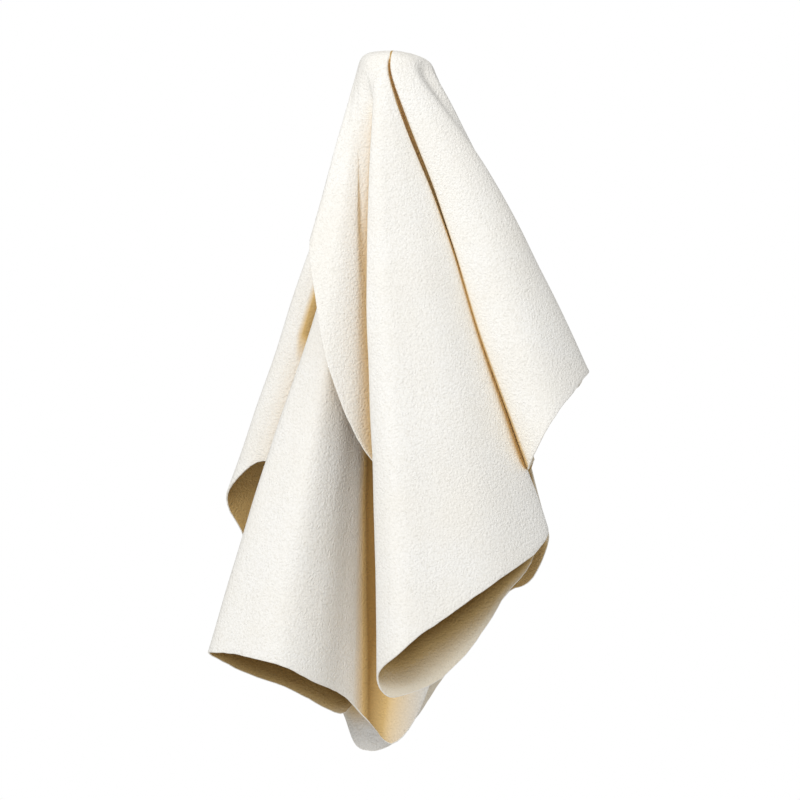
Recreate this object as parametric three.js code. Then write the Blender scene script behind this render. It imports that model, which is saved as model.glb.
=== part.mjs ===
// A chamois leather: one soft hide with a raw cut edge, hung by its middle over the rounded end of a peg.
// Millimetres, +Z up, with the viewer on the -Y side. The origin is the top of the peg, under the hide.
import * as THREE from 'three';

// The hide. Its drop runs from the peg's top to its lowest tip, and a larger hide hangs wider as well.
const HIDE_DROP = 351;
const LEATHER_THICKNESS = 1.0;
const LEATHER_COLOUR = 0xf6f1e6;
const LEATHER_ROUGHNESS = 0.95;

// The peg's rounded end, which the crown of the hide takes its shape from
const PEG_WIDTH = 39;
const PEG_DEPTH = 34;
const PEG_EDGE_DROP = 10.5;
const PEG_EDGE_ROUNDING = 4;
const SHOULDER_DROP = 1.5;
const RIGHT_SHOULDER_SAG = 3.5;

// Columns of facets between one fold line and the next
const COLUMNS_PER_LINE = 2;

// The fold lines below are set out for a hide with this drop
const SET_OUT_DROP = 351;
const HIDE_SCALE = HIDE_DROP / SET_OUT_DROP;

// A fold line leaves the peg at an angle (degrees seen from above, 0 at +X, -90 at the front) and ends on
// the cut edge. A tucked line starts that far inside the peg's outline, as a valley between two folds does.
// The bows push a line sideways, along X, a third and two thirds of the way down.
function line(angle, edge, tuck = 0, upperBow = 0, lowerBow = 0) {
  return {
    angle,
    edge: new THREE.Vector3(...edge).multiplyScalar(HIDE_SCALE),
    tuck,
    upperBow: upperBow * HIDE_SCALE,
    lowerBow: lowerBow * HIDE_SCALE,
  };
}

// The folds, clockwise seen from above, from the right over the front and the left to the back
const rightFold = [
  line(-62, [95.5, -6, -159], 0, 7.5, 4.5),
  line(-74, [83, -24, -174], 0, 7, 5),
  line(-85, [73, -28, -189], 0, 4, 3),
  line(-96.5, [65, -17, -206.5], 0, 1.3, -0.8),
];
const crevice = [
  line(-99, [68.5, 1, -203], 4, 3.2, 3.2),
  line(-102, [66, 0, -210], 4, 0.8, 0.4),
];
const frontPleat = [
  line(-105, [67.5, -8, -224], 0.5, 0.5, -1.5),
  line(-107.5, [75, -14, -239.5], 0, 2.2, 0.2),
  line(-110, [50.5, -38, -260], 0, 0, 2),
  line(-112.5, [21, -50, -280], 0, -1, 1),
  line(-115, [0.5, -55, -295.5], 0, -3, -1),
  line(-118, [-9.5, -45, -308.5], 0, -5, -2),
];
const insideOfPleat = [
  line(-122, [-3.5, -37, -318.5], 0, -4, -1),
  line(-125, [16.5, -32, -313]),
  line(-129, [34, -28, -298.5]),
  line(-133, [51.5, -22, -272]),
  line(-137, [68, -13, -248]),
];
const behindPleat = [
  line(-141, [46.5, -7, -238]),
  line(-146, [16.5, -14, -218]),
  line(-151, [-10.5, -19, -204.5], 0, -2),
];
const leftFlap = [
  line(-156, [-22.5, -24, -185]),
  line(-162, [-34, -26, -155.5]),
  line(-168, [-39.5, -22, -126.5]),
  line(-174, [-42, -12, -91.5]),
];
const behindFlap = [
  line(-179, [-31, -5, -98]),
  line(-184, [1.5, -2, -163], 1),
  line(-189, [27.5, 2, -253.5], 2),
];
const middlePanel = [
  line(-192.5, [16, 7, -317], 2.5),
  line(-199.5, [-3, 14, -345.5], 4),
  line(-203, [-14.5, 20, -335], 5),
];
const lowerLeftFold = [
  line(-205, [-26, 6, -321.5], 3, 2),
  line(-207, [-40.5, -11, -312], 1, 4, 1),
  line(-210, [-59.5, -20, -303.5], 0, 5, 2),
  line(-215.5, [-78, -13, -299.5], 0, 7.5, 2.5),
  line(-221, [-94, 0, -299], 0, 7.5, 2.5),
  line(-226.5, [-78, 14, -309], 0, 6, 2),
  line(-232, [-48, 23, -321.5], 1, 3, 1),
  line(-237, [-26.5, 28, -331], 2),
];
const leftValley = [
  line(-242, [-16.5, 36, -274.5], 2),
  line(-247, [-44, 33, -218.5], 1),
];
const farLeftFold = [
  line(-251, [-68, 29, -204]),
  line(-255, [-86.5, 40, -220.5], 0, -5, -2.5),
  line(-259, [-79, 58, -243]),
];
const backLeftFold = [
  line(-265, [-66, 84, -272]),
  line(-271, [-55, 98, -294.5]),
  line(-278, [-39, 80, -316.5]),
  line(-284, [-26.5, 56, -335.5], 2),
];
const backTip = [
  line(-288, [-19, 52, -351], 2),
  line(-292, [-4, 54, -350], 2),
];
const backRightFold = [
  line(-298, [11, 78, -335], 1),
  line(-305, [24.5, 104, -318]),
  line(-312, [40, 88, -298.5]),
  line(-320, [57, 48, -270.5], 2),
  line(-326, [67.5, 40, -265], 2),
  line(-331, [76.5, 31, -244], 2),
  line(-335, [73.5, 40, -231], 2),
];
const rightSideFolds = [
  line(-340, [64, 52, -214], 1, 2, 1),
  line(-348, [72, 70, -186], 0, 3, 2),
  line(-358, [74, 36, -173], 1, 4, 3),
  line(-367, [74, 22, -168], 2, 4, 3),
  line(-380, [89, 30, -167], 0, 4, 3.5),
  line(-402, [93, 8, -161.5], 2.5, 5, 4),
];
const foldLines = [
  rightFold, crevice, frontPleat, insideOfPleat, behindPleat, leftFlap, behindFlap, middlePanel,
  lowerLeftFold, leftValley, farLeftFold, backLeftFold, backTip, backRightFold, rightSideFolds,
].flat();

// The middle of the leather's thickness over the peg's top
const crown = new THREE.Vector3(0, 0, LEATHER_THICKNESS / 2);

// A point round the peg, inset from the hide's outline there and dropped below the crown
function pegPoint({ angle }, inset, drop, rightSag) {
  const turn = THREE.MathUtils.degToRad(angle);
  const across = (PEG_WIDTH + LEATHER_THICKNESS) / 2 - inset;
  const along = (PEG_DEPTH + LEATHER_THICKNESS) / 2 - inset;
  const sag = rightSag * Math.max(Math.cos(turn), 0);
  return new THREE.Vector3(across * Math.cos(turn), along * Math.sin(turn), crown.z - drop - sag);
}

function shoulderPoint(foldLine) {
  return pegPoint(foldLine, PEG_EDGE_ROUNDING, SHOULDER_DROP, RIGHT_SHOULDER_SAG);
}

function pegEdgePoint(foldLine) {
  return pegPoint(foldLine, foldLine.tuck, PEG_EDGE_DROP, RIGHT_SHOULDER_SAG / 2);
}

function hangingPoint(foldLine, share, bow) {
  const point = pegEdgePoint(foldLine).lerp(foldLine.edge, share);
  point.x += bow;
  return point;
}

// Closed sections through the fold lines, from the crown's shoulder down to the cut edge
const sections = [
  foldLines.map(shoulderPoint),
  foldLines.map(pegEdgePoint),
  foldLines.map((foldLine) => hangingPoint(foldLine, 1 / 3, foldLine.upperBow)),
  foldLines.map((foldLine) => hangingPoint(foldLine, 2 / 3, foldLine.lowerBow)),
  foldLines.map((foldLine) => foldLine.edge),
].map((points) => new THREE.CatmullRomCurve3(points, true, 'centripetal'));

// The folded hide as one layer of facets: a fan round the crown, then bands from section to section
function foldedLayer() {
  const columns = foldLines.length * COLUMNS_PER_LINE;
  const points = [crown];
  for (const section of sections) {
    for (let column = 0; column < columns; column += 1) {
      points.push(section.getPoint(column / columns));
    }
  }
  const at = (row, column) => 1 + row * columns + (column % columns);
  const faces = [];
  for (let column = 0; column < columns; column += 1) {
    faces.push(0, at(0, column + 1), at(0, column));
    for (let row = 1; row < sections.length; row += 1) {
      faces.push(at(row - 1, column), at(row - 1, column + 1), at(row, column));
      faces.push(at(row - 1, column + 1), at(row, column + 1), at(row, column));
    }
  }
  const edge = Array.from({ length: columns }, (_, column) => at(sections.length - 1, column));
  const layer = new THREE.BufferGeometry().setFromPoints(points);
  layer.setIndex(faces);
  layer.computeVertexNormals();
  return { layer, edge };
}

// Which way the leather's outer face looks at a point of the layer. Down to the peg's edge the leather lies
// on the peg, so there its face turns halfway to the peg's own.
function outwards(middle, normal) {
  if (middle.z < crown.z - PEG_EDGE_DROP - RIGHT_SHOULDER_SAG) {
    return normal;
  }
  const pegMiddle = new THREE.Vector3(0, 0, -PEG_EDGE_DROP);
  return middle.clone().sub(pegMiddle).normalize().add(normal);
}

// The layer given its thickness: an outer face, an inner face and the cut edge between them
function thickened({ layer, edge }, thickness) {
  const place = layer.getAttribute('position');
  const normals = layer.getAttribute('normal');
  const outer = [];
  const inner = [];
  for (let i = 0; i < place.count; i += 1) {
    const middle = new THREE.Vector3().fromBufferAttribute(place, i);
    const normal = new THREE.Vector3().fromBufferAttribute(normals, i);
    const half = outwards(middle, normal).setLength(thickness / 2);
    outer.push(middle.clone().add(half));
    inner.push(middle.clone().sub(half));
  }
  const faces = [...layer.getIndex().array];
  const inside = outer.length;
  for (let i = faces.length - 3; i >= 0; i -= 3) {
    faces.push(inside + faces[i], inside + faces[i + 2], inside + faces[i + 1]);
  }
  edge.forEach((here, i) => {
    const next = edge[(i + 1) % edge.length];
    faces.push(here, next, inside + here);
    faces.push(next, inside + next, inside + here);
  });
  const solid = new THREE.BufferGeometry().setFromPoints([...outer, ...inner]);
  solid.setIndex(faces);
  solid.computeVertexNormals();
  return solid;
}

const leather = new THREE.MeshStandardMaterial({
  color: LEATHER_COLOUR,
  roughness: LEATHER_ROUGHNESS,
  metalness: 0,
});

const hide = new THREE.Mesh(thickened(foldedLayer(), LEATHER_THICKNESS), leather);
hide.name = 'chamois_hide';

const chamois = new THREE.Group();
chamois.add(hide);

export default chamois;
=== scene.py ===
"""A chamois leather hung by its middle: one soft napped hide in deep folds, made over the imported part."""
import math

import bpy
import numpy as np
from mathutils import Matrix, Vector, noise


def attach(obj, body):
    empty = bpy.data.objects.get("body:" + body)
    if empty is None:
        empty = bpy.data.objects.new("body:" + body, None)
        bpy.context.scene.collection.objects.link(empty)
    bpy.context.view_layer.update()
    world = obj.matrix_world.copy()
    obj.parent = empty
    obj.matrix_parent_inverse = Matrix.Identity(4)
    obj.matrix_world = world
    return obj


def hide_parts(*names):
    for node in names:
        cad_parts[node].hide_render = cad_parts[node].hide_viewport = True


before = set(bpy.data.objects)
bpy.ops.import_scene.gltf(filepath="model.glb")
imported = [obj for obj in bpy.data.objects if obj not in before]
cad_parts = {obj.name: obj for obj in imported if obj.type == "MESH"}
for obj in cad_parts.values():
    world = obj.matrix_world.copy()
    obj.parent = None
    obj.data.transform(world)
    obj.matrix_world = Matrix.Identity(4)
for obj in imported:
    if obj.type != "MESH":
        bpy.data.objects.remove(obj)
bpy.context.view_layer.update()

MM = 0.001

# The hide and the rounded end of the peg under it, in millimetres
LEATHER_THICKNESS = 1.0
PEG_WIDTH = 39
PEG_DEPTH = 34
PEG_EDGE_DROP = 10.5
PEG_EDGE_ROUNDING = 4
SHOULDER_DROP = 1.5
RIGHT_SHOULDER_SAG = 3.5
CROWN_HEIGHT = LEATHER_THICKNESS / 2

# Mesh steps: columns from fold line to fold line, rows from section to section down from the crown, and the
# degrees round the cut edge from the outer face to the inner one
COLUMNS_PER_LINE = 7
ROWS_PER_BAND = (6, 8, 22, 22, 22)
RIM_ANGLES = (-60, -20, 20, 60)
LEAST_KNOT = 1e-3
LEAST_LENGTH = 1e-9

# Soft dents in the leather, in millimetres, one seed for each axis. They grow to their full depth over the
# first third of the way down.
DENT_DEPTH = 0.7
DENT_SPACING = 34
DENT_SEEDS = (3, 17, 31)
DENT_GROWTH = 3

# The wander and nicks of the cut edge, in millimetres. They fade out up the hide, over a share of its drop.
EDGE_WANDER = 1.1
EDGE_WANDER_SPACING = 17
EDGE_WANDER_SEED = 7
EDGE_NICK = 0.35
EDGE_NICK_SPACING = 4
EDGE_NICK_SEED = 11
WANDER_START = 0.7
WANDER_REACH = 0.3

# How far a seed moves the noise, along each axis
SEED_SHIFT = (1, 2.7, -1.3)

# The inner face gets painted deep shade as far back (Y) as SHADE_BACK and none from SHADE_END on. Its lowest
# tips drop the inner face's painted shade colour, as painted light, from the height TIP_TOP down to
# TIP_OPEN. In millimetres.
SHADE_BACK = 25
SHADE_END = 52
TIP_TOP = -330
TIP_OPEN = -342

# The photograph's view: level, straight on, with 400 mm of width at the peg's own distance
CAMERA_AIM = Vector((1.5, 0, -173)) * MM
CAMERA_DISTANCE = 2.0
CAMERA_LENS = 180
CAMERA_SENSOR = 36

# The floor, in metres
FLOOR_DROP = 0.75
FLOOR_HALF = 1.6
FLOOR_COLOUR = (0.86, 0.86, 0.86, 1)
FLOOR_ROUGHNESS = 0.9

# Soft square lamps: name, place in metres, power in watts and width in metres
LAMPS = (
    ("key", (-0.6, -1.5, 0.95), 29, 0.9),
    ("fill", (1.2, -1.0, -0.5), 2.5, 0.9),
    ("rear", (0.9, 1.3, 0.6), 6, 0.7),
)

# The white backdrop as the camera sees it, and the light that it gives to the hide
BACKDROP_SEEN = 1.0
BACKDROP_GIVEN = 0.32
BACKDROP_COLOUR = (1, 1, 1, 1)


def line(angle, edge, tuck=0, upper_bow=0, lower_bow=0, depth=(0, 0)):
    """A fold line: its angle round the peg, its end on the cut edge, its tuck inside the peg's outline, its
    bows a third and two thirds of the way down, and its depth in a valley, from 0 to 1, for painted shade.
    The first depth holds down to two thirds of the line's length, and the second is reached at the cut edge."""
    return angle, edge, tuck, upper_bow, lower_bow, depth


# The folds, clockwise seen from above, from the right over the front and the left to the back
# A line's depth sets the painted shade of the outer face's valley there.
FOLD_LINES = [
    # right fold
    line(-62, (95.5, -6, -159), 0, 7.5, 4.5),
    line(-74, (83, -24, -174), 0, 7, 5),
    line(-85, (73, -28, -189), 0, 4, 3),
    line(-96.5, (65, -17, -206.5), 0, 1.3, -0.8),
    # crevice
    line(-99, (68.5, 1, -203), 4, 3.2, 3.2, depth=(0.85, 0.85)),
    line(-102, (66, 0, -210), 4, 0.8, 0.4, depth=(0.85, 0.85)),
    # front pleat
    line(-105, (67.5, -8, -224), 0.5, 0.5, -1.5),
    line(-107.5, (75, -14, -239.5), 0, 2.2, 0.2),
    line(-110, (50.5, -38, -260), 0, 0, 2),
    line(-112.5, (21, -50, -280), 0, -1, 1),
    line(-115, (0.5, -55, -295.5), 0, -3, -1),
    line(-118, (-9.5, -45, -308.5), 0, -5, -2),
    # inside of the pleat
    line(-122, (-3.5, -37, -318.5), 0, -4, -1),
    line(-125, (16.5, -32, -313)),
    line(-129, (34, -28, -298.5)),
    line(-133, (51.5, -22, -272)),
    line(-137, (68, -13, -248)),
    # behind the pleat
    line(-141, (46.5, -7, -238)),
    line(-146, (16.5, -14, -218)),
    line(-151, (-10.5, -19, -204.5), 0, -2),
    # left flap
    line(-156, (-22.5, -24, -185)),
    line(-162, (-34, -26, -155.5)),
    line(-168, (-39.5, -22, -126.5)),
    line(-174, (-42, -12, -91.5)),
    # behind the flap
    line(-179, (-31, -5, -98)),
    line(-184, (1.5, -2, -163), 1),
    line(-189, (27.5, 2, -253.5), 2),
    # middle panel
    line(-192.5, (16, 7, -317), 2.5, depth=(0.8, 0.64)),
    line(-199.5, (-3, 14, -345.5), 4, depth=(1, 0.76)),
    line(-203, (-14.5, 20, -335), 5, depth=(1, 0.9)),
    # lower left fold
    line(-205, (-26, 6, -321.5), 3, 2, depth=(0.5, 0.55)),
    line(-207, (-40.5, -11, -312), 1, 4, 1),
    line(-210, (-59.5, -20, -303.5), 0, 5, 2),
    line(-215.5, (-78, -13, -299.5), 0, 7.5, 2.5),
    line(-221, (-94, 0, -299), 0, 7.5, 2.5),
    line(-226.5, (-78, 14, -309), 0, 6, 2),
    line(-232, (-48, 23, -321.5), 1, 3, 1),
    line(-237, (-26.5, 28, -331), 2),
    # left valley
    line(-242, (-16.5, 36, -274.5), 2, depth=(1, 0.4)),
    line(-247, (-44, 33, -218.5), 1, depth=(1, 0)),
    # far left fold
    line(-251, (-68, 29, -204), depth=(0.82, 0)),
    line(-255, (-86.5, 40, -220.5), 0, -5, -2.5),
    line(-259, (-79, 58, -243)),
    # back left fold
    line(-265, (-66, 84, -272)),
    line(-271, (-55, 98, -294.5)),
    line(-278, (-39, 80, -316.5)),
    line(-284, (-26.5, 56, -335.5), 2),
    # back tip
    line(-288, (-19, 52, -351), 2),
    line(-292, (-4, 54, -350), 2),
    # back right fold
    line(-298, (11, 78, -335), 1),
    line(-305, (24.5, 104, -318)),
    line(-312, (40, 88, -298.5)),
    line(-320, (57, 48, -270.5), 2),
    line(-326, (67.5, 40, -265), 2),
    line(-331, (76.5, 31, -244), 2),
    line(-335, (73.5, 40, -231), 2),
    # right side folds
    line(-340, (64, 52, -214), 1, 2, 1),
    line(-348, (72, 70, -186), 0, 3, 2),
    line(-358, (74, 36, -173), 1, 4, 3),
    line(-367, (74, 22, -168), 2, 4, 3),
    line(-380, (89, 30, -167), 0, 4, 3.5),
    line(-402, (93, 8, -161.5), 2.5, 5, 4),
]


def catmull_rom(before, start, end, after, share):
    """Points a share of the way from start to end, on centripetal Catmull-Rom splines, one for each row."""
    def knot(a, b):
        return np.maximum(np.linalg.norm(b - a, axis=-1, keepdims=True) ** 0.5, LEAST_KNOT)
    t0, t1, t2 = knot(before, start), knot(start, end), knot(end, after)
    leave = ((start - before) / t0 - (end - before) / (t0 + t1) + (end - start) / t1) * t1
    arrive = ((end - start) / t1 - (after - start) / (t1 + t2) + (after - end) / t2) * t1
    square = -3 * start + 3 * end - 2 * leave - arrive
    cube = 2 * start - 2 * end + leave + arrive
    return start + leave * share + square * share ** 2 + cube * share ** 3


def ring(points):
    """A closed section through one point of each fold line, with all its columns."""
    before, end, after = np.roll(points, 1, 0), np.roll(points, -1, 0), np.roll(points, -2, 0)
    shares = [k / COLUMNS_PER_LINE for k in range(COLUMNS_PER_LINE)]
    steps = [catmull_rom(before, points, end, after, share) for share in shares]
    return np.stack(steps, 1).reshape(-1, 3)


def sections():
    """The closed sections in millimetres: shoulder, peg edge, a third down, two thirds down, cut edge."""
    angle, edge, tuck, upper_bow, lower_bow, _ = (np.array(column, float) for column in zip(*FOLD_LINES))
    cosine, sine = np.cos(np.radians(angle)), np.sin(np.radians(angle))

    def round_peg(inset, drop, sag):
        across = ((PEG_WIDTH + LEATHER_THICKNESS) / 2 - inset) * cosine
        along = ((PEG_DEPTH + LEATHER_THICKNESS) / 2 - inset) * sine
        return np.stack([across, along, CROWN_HEIGHT - drop - sag * np.maximum(cosine, 0)], -1)

    def hanging(share, bow):
        point = peg_edge + (edge - peg_edge) * share
        point[:, 0] += bow
        return point

    shoulder = round_peg(PEG_EDGE_ROUNDING, SHOULDER_DROP, RIGHT_SHOULDER_SAG)
    peg_edge = round_peg(tuck, PEG_EDGE_DROP, RIGHT_SHOULDER_SAG / 2)
    third, two_thirds = hanging(1 / 3, upper_bow), hanging(2 / 3, lower_bow)
    return [ring(points) for points in (shoulder, peg_edge, third, two_thirds, edge)]


def folded_grid():
    """The middle of the leather as a grid of points in millimetres: rows down the hide, columns round it."""
    rings = sections()
    crown = np.zeros_like(rings[0]) + (0, 0, CROWN_HEIGHT)
    over_the_top = rings[0] * (-1, -1, 1)
    past_the_edge = 2 * rings[-1] - rings[-2]
    knots = [over_the_top, crown, *rings, past_the_edge]
    rows = [crown]
    for band, steps in enumerate(ROWS_PER_BAND):
        rows += [catmull_rom(*knots[band:band + 4], k / steps) for k in range(1, steps + 1)]
    return np.array(rows)


def painted_valley_shade():
    """How much painted valley shade each point of the grid gets, from 0 to 1, by its depth in a valley."""
    share = np.arange(COLUMNS_PER_LINE) / COLUMNS_PER_LINE

    def by_column(depth):
        return (depth[:, None] * (1 - share) + np.roll(depth, -1)[:, None] * share).ravel()

    depths = np.array([fold_line[-1] for fold_line in FOLD_LINES], float)
    upper, at_edge = by_column(depths[:, 0]), by_column(depths[:, 1])
    last_band = ROWS_PER_BAND[-1]
    above = np.zeros(1 + sum(ROWS_PER_BAND[:-1]))
    near_edge = np.concatenate([above, np.arange(1, last_band + 1) / last_band])[:, None]
    return upper * (1 - near_edge) + at_edge * near_edge


def grid_normals(grid):
    """The way the outer face looks at each point of the grid."""
    down = np.gradient(grid, axis=0)
    across = np.roll(grid, -1, 1) - np.roll(grid, 1, 1)
    normal = np.cross(across, down)
    normal[0] = (0, 0, 1)
    return normal / np.maximum(np.linalg.norm(normal, axis=-1, keepdims=True), LEAST_LENGTH)


def edge_direction(grid):
    """The way the leather would run on past its cut edge, at each column."""
    hang = grid[-1] - grid[-2]
    return hang / np.linalg.norm(hang, axis=-1, keepdims=True)


def noise_field(points, spacing, seed):
    """Smooth noise at each point, with the given spacing between its bumps."""
    shift = Vector([along * seed for along in SEED_SHIFT])
    return np.array([noise.noise(Vector(p) + shift) for p in points.reshape(-1, 3) / spacing])


def soften(grid):
    """Gives the smooth drape the dents of handled leather and the wander of a hand-cut edge. A dent moves
    all the layers at a place together, so that few of them meet."""
    drop = np.linspace(0, 1, len(grid))[:, None, None]
    dents = [noise_field(grid, DENT_SPACING, seed) for seed in DENT_SEEDS]
    dents = np.stack(dents, -1).reshape(grid.shape)
    grid = grid + dents * DENT_DEPTH * np.minimum(1, DENT_GROWTH * drop)
    wander = noise_field(grid[-1], EDGE_WANDER_SPACING, EDGE_WANDER_SEED) * EDGE_WANDER
    wander += noise_field(grid[-1], EDGE_NICK_SPACING, EDGE_NICK_SEED) * EDGE_NICK
    near_edge = np.clip((drop - WANDER_START) / WANDER_REACH, 0, 1) ** 2
    return grid + near_edge * edge_direction(grid) * wander[:, None]


def closed_mesh(name, top, loops, bottom):
    """A mesh in metres from closed loops of points in millimetres, with a fan to a point at each end."""
    count, columns = loops.shape[:2]
    points = np.concatenate([[top], loops.reshape(-1, 3), [bottom]]) * MM
    first, last = 1, 1 + (count - 1) * columns
    sides = [(a, (a + 1) % columns) for a in range(columns)]
    faces = [(0, first + b, first + a) for a, b in sides]
    for here in range(first, last, columns):
        below = here + columns
        faces += [(here + a, here + b, below + b, below + a) for a, b in sides]
    faces += [(len(points) - 1, last + a, last + b) for a, b in sides]
    mesh = bpy.data.meshes.new(name)
    mesh.from_pydata(points.tolist(), [], faces)
    mesh.shade_smooth()
    return mesh


def mark(mesh, name, by_point):
    """Stores a value for each point of the loops round the hide, for the material to read."""
    values = np.concatenate([by_point[0, :1], by_point.ravel(), by_point[-1, :1]])
    mesh.attributes.new(name, "FLOAT", "POINT").data.foreach_set("value", values.astype(np.float32))


def ramp(values, start, full):
    """0 at the start, 1 where it is full, and straight in between."""
    return np.clip((values - start) / (full - start), 0, 1)


def mark_leather(mesh, loops):
    """Marks the cut edge, the inner face (fading out at its lowest tips as painted light), its painted
    shade, and the painted shade of the outer face's valleys.
    """
    count, columns = loops.shape[:2]
    rim = len(RIM_ANGLES)
    rows = (count - rim) // 2
    on_edge = np.repeat((0, 1, 0), (rows, rim, rows))[:, None]
    inner = np.concatenate([np.zeros(rows), np.linspace(0, 1, rim), np.ones(rows)])[:, None]
    depth = np.zeros((count, columns))
    depth[:rows] = painted_valley_shade()[1:]
    mark(mesh, "edge", np.repeat(on_edge, columns, 1))
    # The inner face, which takes a painted shade colour; fading it out at the lowest tips is painted light.
    mark(mesh, "inside", inner * ramp(loops[..., 2], TIP_OPEN, TIP_TOP))
    # How much painted deep shade the inner face gets, less towards the back.
    mark(mesh, "shade", ramp(loops[..., 1], SHADE_END, SHADE_BACK))
    # How much painted shade the outer face's valleys get.
    mark(mesh, "depth", depth)


def leather_mesh(name):
    """The hide as one closed mesh: an outer face, a rounded cut edge and an inner face."""
    grid = soften(folded_grid())
    normal = grid_normals(grid)
    hang = edge_direction(grid)
    half = LEATHER_THICKNESS / 2
    outer, inner = grid + normal * half, grid - normal * half
    rim = [
        grid[-1] + half * (hang * math.cos(turn) - normal[-1] * math.sin(turn))
        for turn in map(math.radians, RIM_ANGLES)
    ]
    loops = np.array([*outer[1:], *rim, *inner[:0:-1]])
    mesh = closed_mesh(name, outer[0, 0], loops, inner[0, 0])
    mark_leather(mesh, loops)
    return mesh


class Nodes:
    """Short ways to add and join the nodes of one material."""

    # A colour Mix node's own sockets, by number, because its other kinds of value share their names
    MIX_A, MIX_B, MIX_RESULT = 6, 7, 2
    SHELTER_SAMPLES = 16

    def __init__(self, material):
        material.use_nodes = True
        self.tree = material.node_tree
        self.shader = self.tree.nodes["Principled BSDF"]

    def add(self, kind, inputs=None, **settings):
        """A new node, with its settings made and its inputs set or linked."""
        node = self.tree.nodes.new(kind)
        for key, value in settings.items():
            setattr(node, key, value)
        for key, value in (inputs or {}).items():
            self.put(node.inputs[key], value)
        return node

    def put(self, socket, value):
        """Links an output to a socket, or sets a constant on the socket itself."""
        if isinstance(value, bpy.types.NodeSocket):
            self.tree.links.new(value, socket)
        else:
            socket.default_value = value

    def attribute(self, name):
        """A mark of the mesh."""
        return self.add("ShaderNodeAttribute", attribute_name=name).outputs["Fac"]

    def noise(self, where, scale, detail=3, roughness=0.5):
        node = self.add("ShaderNodeTexNoise", {
            "Vector": where, "Scale": scale, "Detail": detail, "Roughness": roughness})
        return node.outputs["Fac"]

    def span(self, value, limits, to=(0.0, 1.0)):
        """A value between two limits, turned into one between two ends."""
        node = self.add("ShaderNodeMapRange", {
            "Value": value, "From Min": limits[0], "From Max": limits[1], "To Min": to[0], "To Max": to[1]})
        return node.outputs["Result"]

    def mix(self, share, a, b):
        node = self.add("ShaderNodeMix", data_type="RGBA")
        self.put(node.inputs["Factor"], share)
        self.put(node.inputs[self.MIX_A], a)
        self.put(node.inputs[self.MIX_B], b)
        return node.outputs[self.MIX_RESULT]

    def shelter(self, reach):
        """How open a place is, from 0 to 1, to what lies within reach."""
        node = self.add("ShaderNodeAmbientOcclusion", {"Distance": reach}, samples=self.SHELTER_SAMPLES)
        return node.outputs["AO"]

    def add_up(self, a, b, weight):
        """The first value, with the second added by its weight."""
        node = self.add("ShaderNodeMath", operation="MULTIPLY_ADD")
        self.put(node.inputs[0], b)
        self.put(node.inputs[1], weight)
        self.put(node.inputs[2], a)
        return node.outputs[0]


# The leather's colours. The inner face's and the tan, brown, warm and gold ones after it are painted shade.
CREAM = (0.94, 0.925, 0.885, 1)
WARM_CREAM = (0.925, 0.898, 0.838, 1)
NAP_SHADE = (0.82, 0.79, 0.72, 1)
PAINTED_INNER_SHADE = (0.87, 0.79, 0.64, 1)
PAINTED_SHADE_TAN = (0.72, 0.5, 0.21, 1)
PAINTED_DEEP_SHADE = (0.26, 0.145, 0.04, 1)
WARM_SHADE = (0.93, 0.85, 0.71, 1)
PAINTED_CREASE_SHADE = (0.68, 0.46, 0.18, 1)
CUT_EDGE = (0.95, 0.91, 0.83, 1)

# Mottling and the dark specks of the nap: noise scale and detail, and the noise values from none to all
MOTTLE_SCALE, MOTTLE_DETAIL = 38, 4
MOTTLE_LIMITS = (0.35, 0.7)
SPECK_SCALE, SPECK_DETAIL = 900, 2
SPECK_LIMITS = (0.54, 0.3)
SPECK_SHARE = 0.6

# How far off, in metres, leather still shelters a crease or a hollow. Then the values from none to all of
# a painted shade colour: openness, 1 in the open, for the outer face's creases, the depth marks for its
# valleys, and openness again for the hollows of the inner face.
CREASE_REACH = 0.03
HOLLOW_REACH = 0.09
CREASE_WARM_LIMITS = (0.9, 0.5)
CREASE_WARM_SHARE = 0.6
PAINTED_CREASE_SHADE_LIMITS = (0.55, 0.38)
VALLEY_TAN_LIMITS = (0.65, 0.82)
VALLEY_BROWN_LIMITS = (0.8, 0.92)
HOLLOW_TAN_LIMITS = (0.88, 0.74)
HOLLOW_BROWN_LIMITS = (0.76, 0.56)

# The raised nap: a fine noise with pebbles and a coarser noise added by weight, and its height in metres
NAP_SCALE, NAP_DETAIL, NAP_ROUGHNESS = 950, 3, 0.55
PEBBLE_SCALE, PEBBLE_WEIGHT = 900, 0.5
COARSE_SCALE, COARSE_DETAIL, COARSE_WEIGHT = 420, 2, 0.25
NAP_DEPTH = 0.0006
NAP_STRENGTH = 0.9

# The matt finish, with a faint sheen on the outer face alone
GLOSS_SCALE = 480
GLOSS_LIMITS = (0.3, 0.7)
GLOSS_ROUGHNESS = (0.86, 0.98)
SPECULAR_LEVEL = 0.03
SHEEN = 0.12
SHEEN_ROUGHNESS = 0.6
SHEEN_TINT = (1.0, 0.96, 0.88, 1)


def outer_colour(n, where):
    """Cream with faint mottling and nap, and painted shade: warmer in the creases, brown deep in the
    valleys.
    """
    mottle = n.span(n.noise(where, MOTTLE_SCALE, MOTTLE_DETAIL), MOTTLE_LIMITS)
    specks = n.span(n.noise(where, SPECK_SCALE, SPECK_DETAIL), SPECK_LIMITS, (0, SPECK_SHARE))
    crease = n.shelter(CREASE_REACH)
    depth = n.attribute("depth")
    colour = n.mix(mottle, CREAM, WARM_CREAM)
    colour = n.mix(specks, colour, NAP_SHADE)
    colour = n.mix(n.span(crease, CREASE_WARM_LIMITS, (0, CREASE_WARM_SHARE)), colour, WARM_SHADE)
    colour = n.mix(n.span(crease, PAINTED_CREASE_SHADE_LIMITS), colour, PAINTED_CREASE_SHADE)
    colour = n.mix(n.span(depth, VALLEY_TAN_LIMITS), colour, PAINTED_SHADE_TAN)
    return n.mix(n.span(depth, VALLEY_BROWN_LIMITS), colour, PAINTED_DEEP_SHADE)


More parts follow.
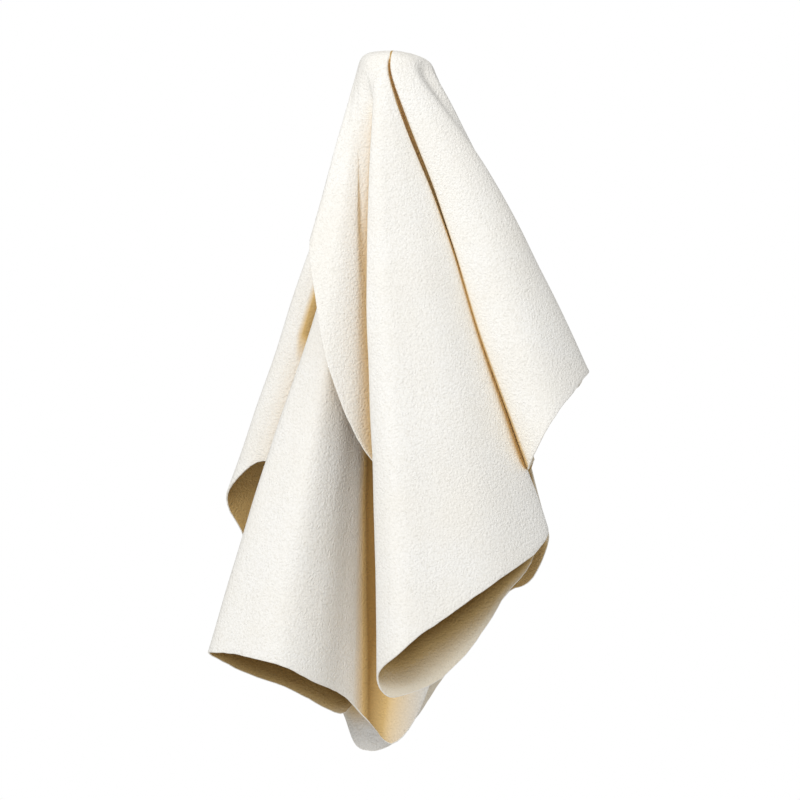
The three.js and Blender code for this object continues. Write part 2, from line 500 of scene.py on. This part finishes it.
def inner_colour(n):
    """The inner face as painted shade: a tan cream, tan where it is sheltered, and brown there as far as the
    shade mark says.
    """
    hollow = n.shelter(HOLLOW_REACH)
    colour = n.mix(n.span(hollow, HOLLOW_TAN_LIMITS), PAINTED_INNER_SHADE, PAINTED_SHADE_TAN)
    return n.mix(n.span(hollow, HOLLOW_BROWN_LIMITS, (0, n.attribute("shade"))), colour, PAINTED_DEEP_SHADE)


def raised_nap(n, where):
    """The fine pebbled surface of suede, as a normal."""
    pebble = n.add("ShaderNodeTexVoronoi", {"Vector": where, "Scale": PEBBLE_SCALE}, feature="SMOOTH_F1")
    nap = n.noise(where, NAP_SCALE, NAP_DETAIL, NAP_ROUGHNESS)
    nap = n.add_up(nap, pebble.outputs["Distance"], PEBBLE_WEIGHT)
    nap = n.add_up(nap, n.noise(where, COARSE_SCALE, COARSE_DETAIL), COARSE_WEIGHT)
    bump = n.add("ShaderNodeBump", {"Height": nap, "Strength": NAP_STRENGTH, "Distance": NAP_DEPTH})
    return bump.outputs["Normal"]


def chamois_material():
    """Cream suede: fine pebbled nap, faint mottling, painted shade in warm tones deep in the folds, a pale
    edge.
    """
    material = bpy.data.materials.new("chamois")
    n = Nodes(material)
    where = n.add("ShaderNodeTexCoord").outputs["Object"]
    inside = n.attribute("inside")
    # The inner face takes its painted shade colour, except at its lowest tips, where painted light leaves
    # the outer colour.
    face = n.mix(inside, outer_colour(n, where), inner_colour(n))
    roughness = n.span(n.noise(where, GLOSS_SCALE), GLOSS_LIMITS, GLOSS_ROUGHNESS)
    for socket, value in {
        "Base Color": n.mix(n.attribute("edge"), face, CUT_EDGE),
        "Normal": raised_nap(n, where),
        "Roughness": roughness,
        "Specular IOR Level": SPECULAR_LEVEL,
        "Sheen Weight": n.span(inside, (0, 1), (SHEEN, 0)),
        "Sheen Roughness": SHEEN_ROUGHNESS,
        "Sheen Tint": SHEEN_TINT,
    }.items():
        n.put(n.shader.inputs[socket], value)
    return material


def add_hide():
    """The hide, standing for the part's own."""
    mesh = leather_mesh("chamois_leather")
    mesh.materials.append(chamois_material())
    hide = bpy.data.objects.new("chamois_leather", mesh)
    bpy.context.scene.collection.objects.link(hide)
    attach(hide, "root")
    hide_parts("chamois_hide")


def add_lamp(name, place, power, size):
    """A soft square lamp that looks at the middle of the hide."""
    lamp = bpy.data.lights.new(name, "AREA")
    lamp.energy = power
    lamp.size = size
    holder = bpy.data.objects.new(name, lamp)
    holder.location = place
    holder.rotation_euler = (CAMERA_AIM - Vector(place)).to_track_quat("-Z", "Y").to_euler()
    bpy.context.scene.collection.objects.link(holder)


def add_floor():
    """A plain pale floor, well below the hanging hide."""
    near, far = -FLOOR_HALF, FLOOR_HALF
    corners = [(near, near), (far, near), (far, far), (near, far)]
    mesh = bpy.data.meshes.new("floor")
    mesh.from_pydata([(x, y, -FLOOR_DROP) for x, y in corners], [], [(0, 1, 2, 3)])
    material = bpy.data.materials.new("floor")
    n = Nodes(material)
    n.put(n.shader.inputs["Base Color"], FLOOR_COLOUR)
    n.put(n.shader.inputs["Roughness"], FLOOR_ROUGHNESS)
    mesh.materials.append(material)
    floor = bpy.data.objects.new("floor", mesh)
    bpy.context.scene.collection.objects.link(floor)


def set_world(seen, given):
    """White behind the object as seen, with less light given to the object from all round."""
    world = bpy.data.worlds.new("studio")
    bpy.context.scene.world = world
    world.use_nodes = True
    tree = world.node_tree
    path = tree.nodes.new("ShaderNodeLightPath")
    strength = tree.nodes.new("ShaderNodeMapRange")
    strength.inputs["To Min"].default_value = given
    strength.inputs["To Max"].default_value = seen
    shown = path.outputs["Is Camera Ray"]
    for ray in ("Is Glossy Ray", "Is Transmission Ray"):
        either = tree.nodes.new("ShaderNodeMath")
        either.operation = "MAXIMUM"
        tree.links.new(shown, either.inputs[0])
        tree.links.new(path.outputs[ray], either.inputs[1])
        shown = either.outputs[0]
    tree.links.new(shown, strength.inputs["Value"])
    background = tree.nodes["Background"]
    background.inputs["Color"].default_value = BACKDROP_COLOUR
    tree.links.new(strength.outputs["Result"], background.inputs["Strength"])


def add_camera():
    """The photograph's camera, level and straight on."""
    camera = bpy.data.cameras.new("camera")
    camera.lens = CAMERA_LENS
    camera.sensor_width = CAMERA_SENSOR
    holder = bpy.data.objects.new("camera", camera)
    holder.location = CAMERA_AIM - Vector((0, CAMERA_DISTANCE, 0))
    holder.rotation_euler = (math.radians(90), 0, 0)
    bpy.context.scene.collection.objects.link(holder)
    bpy.context.scene.camera = holder


add_camera()
add_hide()
add_floor()
for lamp in LAMPS:
    add_lamp(*lamp)
set_world(BACKDROP_SEEN, BACKDROP_GIVEN)
bpy.context.scene.view_settings.view_transform = "Standard"
